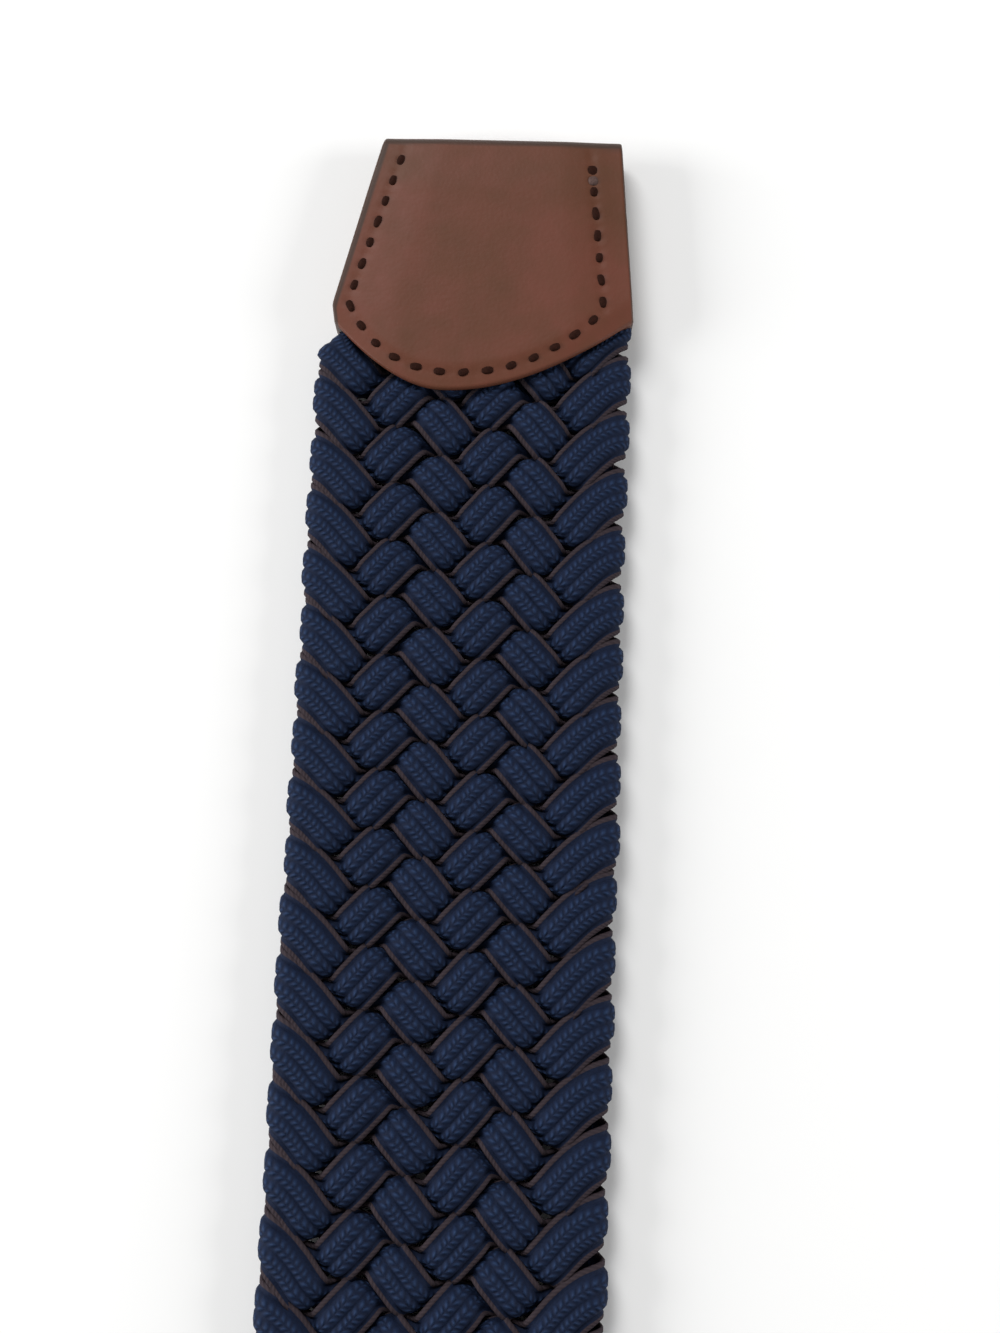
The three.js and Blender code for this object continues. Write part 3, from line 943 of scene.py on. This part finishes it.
def crossing_path(phase, column_step):
    """A strand's way over or under its nearest crossing: across, along, and height for an over one.
    It leans steeply on the crossing and slides sideways where it dives to the next."""
    p = phase - np.round(phase)
    forward = column_step * math.cos(LEAN) + PITCH / 2 * math.sin(LEAN)
    sideways = PITCH / 2 * math.cos(LEAN) - column_step * math.sin(LEAN)
    slide = np.sign(p) * smoothstep((np.abs(p) - 0.5 + SHIFT_SPAN) / (2 * SHIFT_SPAN))
    t = forward * p
    m = sideways * slide
    across = t * math.cos(LEAN) - m * math.sin(LEAN)
    along = t * math.sin(LEAN) + m * math.cos(LEAN)
    z = (1 + SQUARENESS) * np.cos(np.pi * phase) - SQUARENESS * np.cos(3 * np.pi * phase)
    return across, along, z


def strand_route(step, strand):
    """Middle of a strand as u (across), v (from the tip's edge) and z, with its width, its thickness,
    its way across (1, 0 or -1) and how far it is rolled round an edge. step counts crossings along
    the strand: fourteen take it from the left edge to the right one and back."""
    last = STRANDS - 2
    phase = np.mod(step, 2 * STRANDS)
    column_step = (LAST_COLUMN - FIRST_COLUMN) / last
    rightward = phase <= last
    leftward = (phase >= STRANDS) & (phase <= STRANDS + last)
    crossing = rightward | leftward
    right_turn = phase - (STRANDS - 1)
    left_turn = phase - (2 * STRANDS - 1)
    at_right = (phase > last) & (phase < STRANDS)
    across, along, z = crossing_path(phase, column_step)
    right_in, right_along, right_z = edge_path(right_turn, RIGHT_REACH, LAST_COLUMN)
    left_in, left_along, left_z = edge_path(left_turn, LEFT_REACH, -FIRST_COLUMN)
    nearest = np.round(phase)
    u = np.select(
        [rightward, leftward, at_right],
        [FIRST_COLUMN + column_step * nearest + across,
         LAST_COLUMN - column_step * (nearest - STRANDS) - across,
         RIGHT_REACH - right_in],
        left_in - LEFT_REACH,
    )
    middle = np.select([crossing, at_right], [nearest, STRANDS - 1], 2 * STRANDS - 1)
    v = FIRST_CROSSING + PITCH / 2 * (step - phase + middle + 2 * strand)
    v = v + np.select([crossing, at_right], [along, right_along], left_along)
    v = v + DRIFT * (np.cos(2 * np.pi * (v - DRIFT_START) / DRIFT_LENGTH) - DRIFT_LEVEL)
    z = np.select([rightward, leftward, at_right], [z, -z, right_z], left_z)
    dive = np.where(crossing, np.sin(np.pi * phase) ** 4, 0)
    turn = np.where(at_right, right_turn, left_turn)
    near_edge = np.where(crossing, 0, 1 - np.abs(turn))
    width = mix(1, SQUEEZED_WIDTH, dive) * mix(1, EDGE_WIDTH, near_edge)
    thick = mix(1, SQUEEZED_THICK, dive) * mix(1, EDGE_THICK, near_edge)
    way = np.where(rightward, 1, np.where(leftward, -1, 0))
    rolled = np.where(crossing, 0, 1 - smoothstep((np.abs(turn) - ROLL_START) / ROLL_SPAN))
    return np.stack([u, v, SWING * z, width, thick, way, rolled], axis=1)


def smoothed(values, spread):
    reach = int(3 * spread)
    weights = np.exp(-0.5 * (np.arange(-reach, reach + 1) / spread) ** 2)
    weights /= weights.sum()
    padded = np.pad(values, ((reach, reach), (0, 0)), mode="edge")
    columns = [np.convolve(padded[:, i], weights, mode="valid") for i in range(values.shape[1])]
    return np.stack(columns, axis=1)


def strand_profile():
    """Closed outline of a strand as (across, height): ribs on both faces and a cord at each edge.
    Returned with where each of its sides starts and ends among the ribs, and which are on a cord."""
    shares = (0, 0.18, 0.5, 0.82)
    depths = (RIB_GROOVE, RIB_SHOULDER, 0, RIB_SHOULDER)
    place = np.array([rib + share for rib in range(RIBS) for share in shares] + [RIBS], dtype=float)
    groove = np.array(depths * RIBS + (RIB_GROOVE,))
    across = (place / RIBS - 0.5) * RIBBED_WIDTH
    crown = np.sqrt(1 - 0.85 * (2 * across / RIBBED_WIDTH) ** 2)
    height = mix(STRAND_EDGE_THICK, STRAND_THICK, crown) / 2 - groove
    angles = np.radians([120, 60, 0, -60, -120])
    cord_across = CORD_PLACE + CORD / 2 * np.cos(angles)
    cord_height = CORD / 2 * np.sin(angles)
    cord_place = np.linspace(0, 1, len(angles))
    web = [RIBBED_WIDTH / 2 + VALLEY_PLACE]
    right_across = np.concatenate([across, web, cord_across, web])
    right_height = np.concatenate([height, [VALLEY_HALF], cord_height, [-VALLEY_HALF]])
    starts, ends, on_cord = [], [], []
    for ribs in (place, place[::-1]):
        starts += list(ribs[:-1]) + [0, 0] + list(cord_place[:-1]) + [0, 0]
        ends += list(ribs[1:]) + [0, 0] + list(cord_place[1:]) + [0, 0]
        on_cord += [False] * (len(ribs) + 1) + [True] * (len(cord_place) - 1) + [False] * 2
    sides = (np.array(starts, dtype=float), np.array(ends, dtype=float), np.array(on_cord))
    outline_across = np.concatenate([right_across, -right_across])
    return outline_across, np.concatenate([right_height, -right_height]), sides


def strand_rows(strand):
    """A strand's way along the belt, with where its cross-sections are: close together where the belt
    is seen best and where the strand bends."""
    first = (STRAND_START - FIRST_CROSSING) / (PITCH / 2) - 2 * strand - SPARE_STEPS
    last = (STRAND_END - FIRST_CROSSING) / (PITCH / 2) - 2 * strand + SPARE_STEPS
    step = np.arange(first * SAMPLES, last * SAMPLES) / SAMPLES
    route = smoothed(strand_route(step, strand), SMOOTHING * SAMPLES)
    wander = np.random.default_rng(strand).normal(size=(len(route), 3))
    wander = smoothed(wander, WANDER_SPREAD * SAMPLES)
    wander *= UNEVEN / wander.std(axis=0)
    route[:, :3] += wander * WANDER
    place = route[:, :3]
    length = running(np.linalg.norm(np.diff(place, axis=0), axis=1))
    tangent = unit(np.gradient(place, length, axis=0))
    bend = np.linalg.norm(np.gradient(tangent, length, axis=0), axis=1)
    seen = 1 - smoothstep((route[:, 1] - SEEN_LENGTH) / SEEN_FADE)
    spacing_there = mix(STRAIGHT_SHARE, BENT_SHARE, smoothstep(bend / FULL_BEND))
    density = 1 / (mix(COARSE_STEP, FINE_STEP, seen) * spacing_there)
    count = running((density[1:] + density[:-1]) / 2 * np.diff(length))
    inside = (route[:, 1] > STRAND_START) & (route[:, 1] < STRAND_END)
    low, high = count[inside][0], count[inside][-1]
    at = np.interp(np.linspace(low, high, int(high - low) + 1), count, length)
    return length, np.concatenate([route, tangent], axis=1), at


def sampled(at, length, table):
    """The table's columns at other places along its length."""
    flat = [np.interp(at.ravel(), length, table[:, i]).reshape(at.shape) for i in range(table.shape[1])]
    return np.stack(flat, axis=-1)


def edge_normal(tangent):
    """Normal of a strand that rolls round the belt's edge."""
    return unit(np.stack([-tangent[..., 2], np.zeros(tangent.shape[:-1]), tangent[..., 0]], axis=-1))


def strand_points(strand):
    """Points of a strand, one row for each cross-section. Between the columns the rows keep square to
    the strand's lean. Round the belt's edges they bend with the strand."""
    length, table, at = strand_rows(strand)
    outline_across, outline_height, sides = strand_profile()
    rows = sampled(at, length, table)
    way, rolled = rows[:, 5:6], rows[:, 6:7]
    tangent = unit(rows[:, 7:10])
    signs = np.concatenate([np.sign(way), np.ones_like(way), way], axis=1)
    leaning = np.array([math.sin(LEAN), -math.cos(LEAN), 0]) * signs
    side = unit(mix(np.cross(tangent, edge_normal(tangent)), leaning, np.abs(way)))
    normal = unit(np.cross(side, tangent))
    across = outline_across[None, :] * rows[:, 3:4]
    height = outline_height[None, :] * rows[:, 4:5]
    straight = rows[:, None, :3] + across[..., None] * side[:, None, :]
    straight = straight + height[..., None] * normal[:, None, :]
    roll = np.hypot(table[:, 7], table[:, 9])
    rolled_length = running((roll[1:] + roll[:-1]) / 2 * np.diff(length))
    along = np.interp(at, length, rolled_length)
    around = side[:, 0] * tangent[:, 0] + side[:, 2] * tangent[:, 2]
    around /= np.hypot(tangent[:, 0], tangent[:, 2])
    bent = sampled(along[:, None] + across * around[:, None], rolled_length, table)
    bent_points = bent[..., :3] + height[..., None] * edge_normal(bent[..., 7:10])
    bent_points[..., 1] = rows[:, None, 1] + across * side[:, 1:2]
    return mix(straight, bent_points, rolled[:, :, None]), at, sides


def pressed_into(cover, u, s, z):
    """Moves the braid's points between the two layers of a cover: narrower and flatter."""
    left_corner, right_corner = (side_points(cover, side)[1][-1] for side in ("left", "right"))
    margin = SEAM + CLEARANCE
    left_share = smoothstep((s - left_corner + WIDEN_LEFT[0]) / WIDEN_LEFT[1])
    right_share = smoothstep((s - right_corner + WIDEN_RIGHT[0]) / WIDEN_RIGHT[1])
    left = mix(side_x(cover, "left", s, margin), -BELT_WIDTH / 2, left_share)
    right = mix(side_x(cover, "right", s, margin), BELT_WIDTH / 2, right_share)
    u = mix(left, right, (u + BELT_WIDTH / 2) / BELT_WIDTH)
    under = (u > side_points(cover, "left")[0][-1]) & (u < side_points(cover, "right")[0][-1])
    edge = np.where(under, base_s(cover, u), max(left_corner, right_corner))
    flat = smoothstep((edge + FLATTEN / 2 - s) / FLATTEN)
    pressed = SEWN_HEIGHT - 2 * LEATHER - CLEARANCE
    level = mix(BRAID_HEIGHT / 2, MIDDLE, flat)
    return u, level + (z - BRAID_HEIGHT / 2) * mix(1.0, pressed / BRAID_HEIGHT, flat)


def make_strand(strand, materials):
    points, at, (starts, ends, on_cord) = strand_points(strand)
    n_rows, n_side = points.shape[:2]
    points = points.reshape(-1, 3)
    u, v, z = points[:, 0], points[:, 1], points[:, 2] + BRAID_HEIGHT / 2
    u, z = pressed_into(TIP, u, v, z)
    u, z = pressed_into(CHAPE, u, STRAP_LENGTH - v, z)
    points = np.stack([u, TIP_EDGE - v, z], axis=1)
    quads = tube_quads(n_rows, n_side)
    shape = (n_rows - 1, n_side)
    here, there = (np.broadcast_to(part[None, :], shape) for part in (starts, ends))
    nearer, further = (np.broadcast_to(part[:, None] / STITCH, shape) for part in (at[:-1], at[1:]))
    corners = [(here, nearer), (there, nearer), (there, further), (here, further)]
    uv = np.stack([np.stack(corner, axis=2) for corner in corners], axis=2).reshape(-1, 4, 2)
    kind = np.broadcast_to(on_cord[None, :].astype(int), shape).ravel()
    if signed_volume(points, quads) < 0:
        quads = quads[:, ::-1]
        uv = uv[:, ::-1]
    piece = make_object(f"strand_{strand + 1}", points, quads, kind, uv.reshape(-1, 2), materials)
    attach(piece, "root")
    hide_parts("braid")


def make_braid():
    materials = (navy_material(), cord_material())
    for strand in range(STRANDS):
        make_strand(strand, materials)


# Camera, floor and light

def make_camera():
    camera = new_object("camera", bpy.data.cameras.new("camera"))
    bpy.context.scene.camera = camera
    camera.data.lens = LENS
    camera.data.sensor_width = 36
    camera.data.clip_start = 0.01
    camera.data.clip_end = 20
    yaw, tilt = math.radians(YAW), math.radians(TILT)
    up_ground = Vector((-math.sin(yaw), math.cos(yaw), 0))
    back = Vector((0, 0, math.cos(tilt))) - up_ground * math.sin(tilt)
    up = up_ground * math.cos(tilt) + Vector((0, 0, math.sin(tilt)))
    right = up.cross(back)
    matrix = Matrix((right, up, back)).transposed().to_4x4()
    matrix.translation = Vector(LOOK_AT) * MM + back * DISTANCE * MM
    camera.matrix_world = matrix


def make_floor():
    shader = Shader("white_surface")
    place = shader.place()
    tone = shader.noise(place, 8, 2)
    shader.set(Base_Color=shader.ramp(tone, (0.0, (0.86, 0.86, 0.855)), (1.0, (0.90, 0.90, 0.895))))
    shader.set(Roughness=0.6, Specular_IOR_Level=0.2)
    corners = [(-FLOOR, -FLOOR, 0), (FLOOR, -FLOOR, 0), (FLOOR, FLOOR, 0), (-FLOOR, FLOOR, 0)]
    floor = make_object("surface", corners, [(0, 1, 2, 3)], materials=(shader.material,))


def area_light(name, place, size, power):
    data = bpy.data.lights.new(name, "AREA")
    data.shape = "SQUARE"
    data.size = size * MM
    data.energy = power
    light = new_object(name, data)
    light.location = Vector(place) * MM
    aim = Vector(place) - Vector(LIGHT_TARGET)
    light.rotation_euler = aim.to_track_quat("Z", "Y").to_euler()


def make_light():
    world = bpy.data.worlds.new("studio")
    bpy.context.scene.world = world
    world.use_nodes = True
    background = world.node_tree.nodes["Background"].inputs
    background["Color"].default_value = (1, 1, 1, 1)
    background["Strength"].default_value = WORLD_STRENGTH
    for light in LIGHTS:
        area_light(*light)
    bpy.context.scene.view_settings.view_transform = "Standard"


make_camera()
make_floor()
make_light()
make_braid()
make_leather()
make_buckle(metal_material())
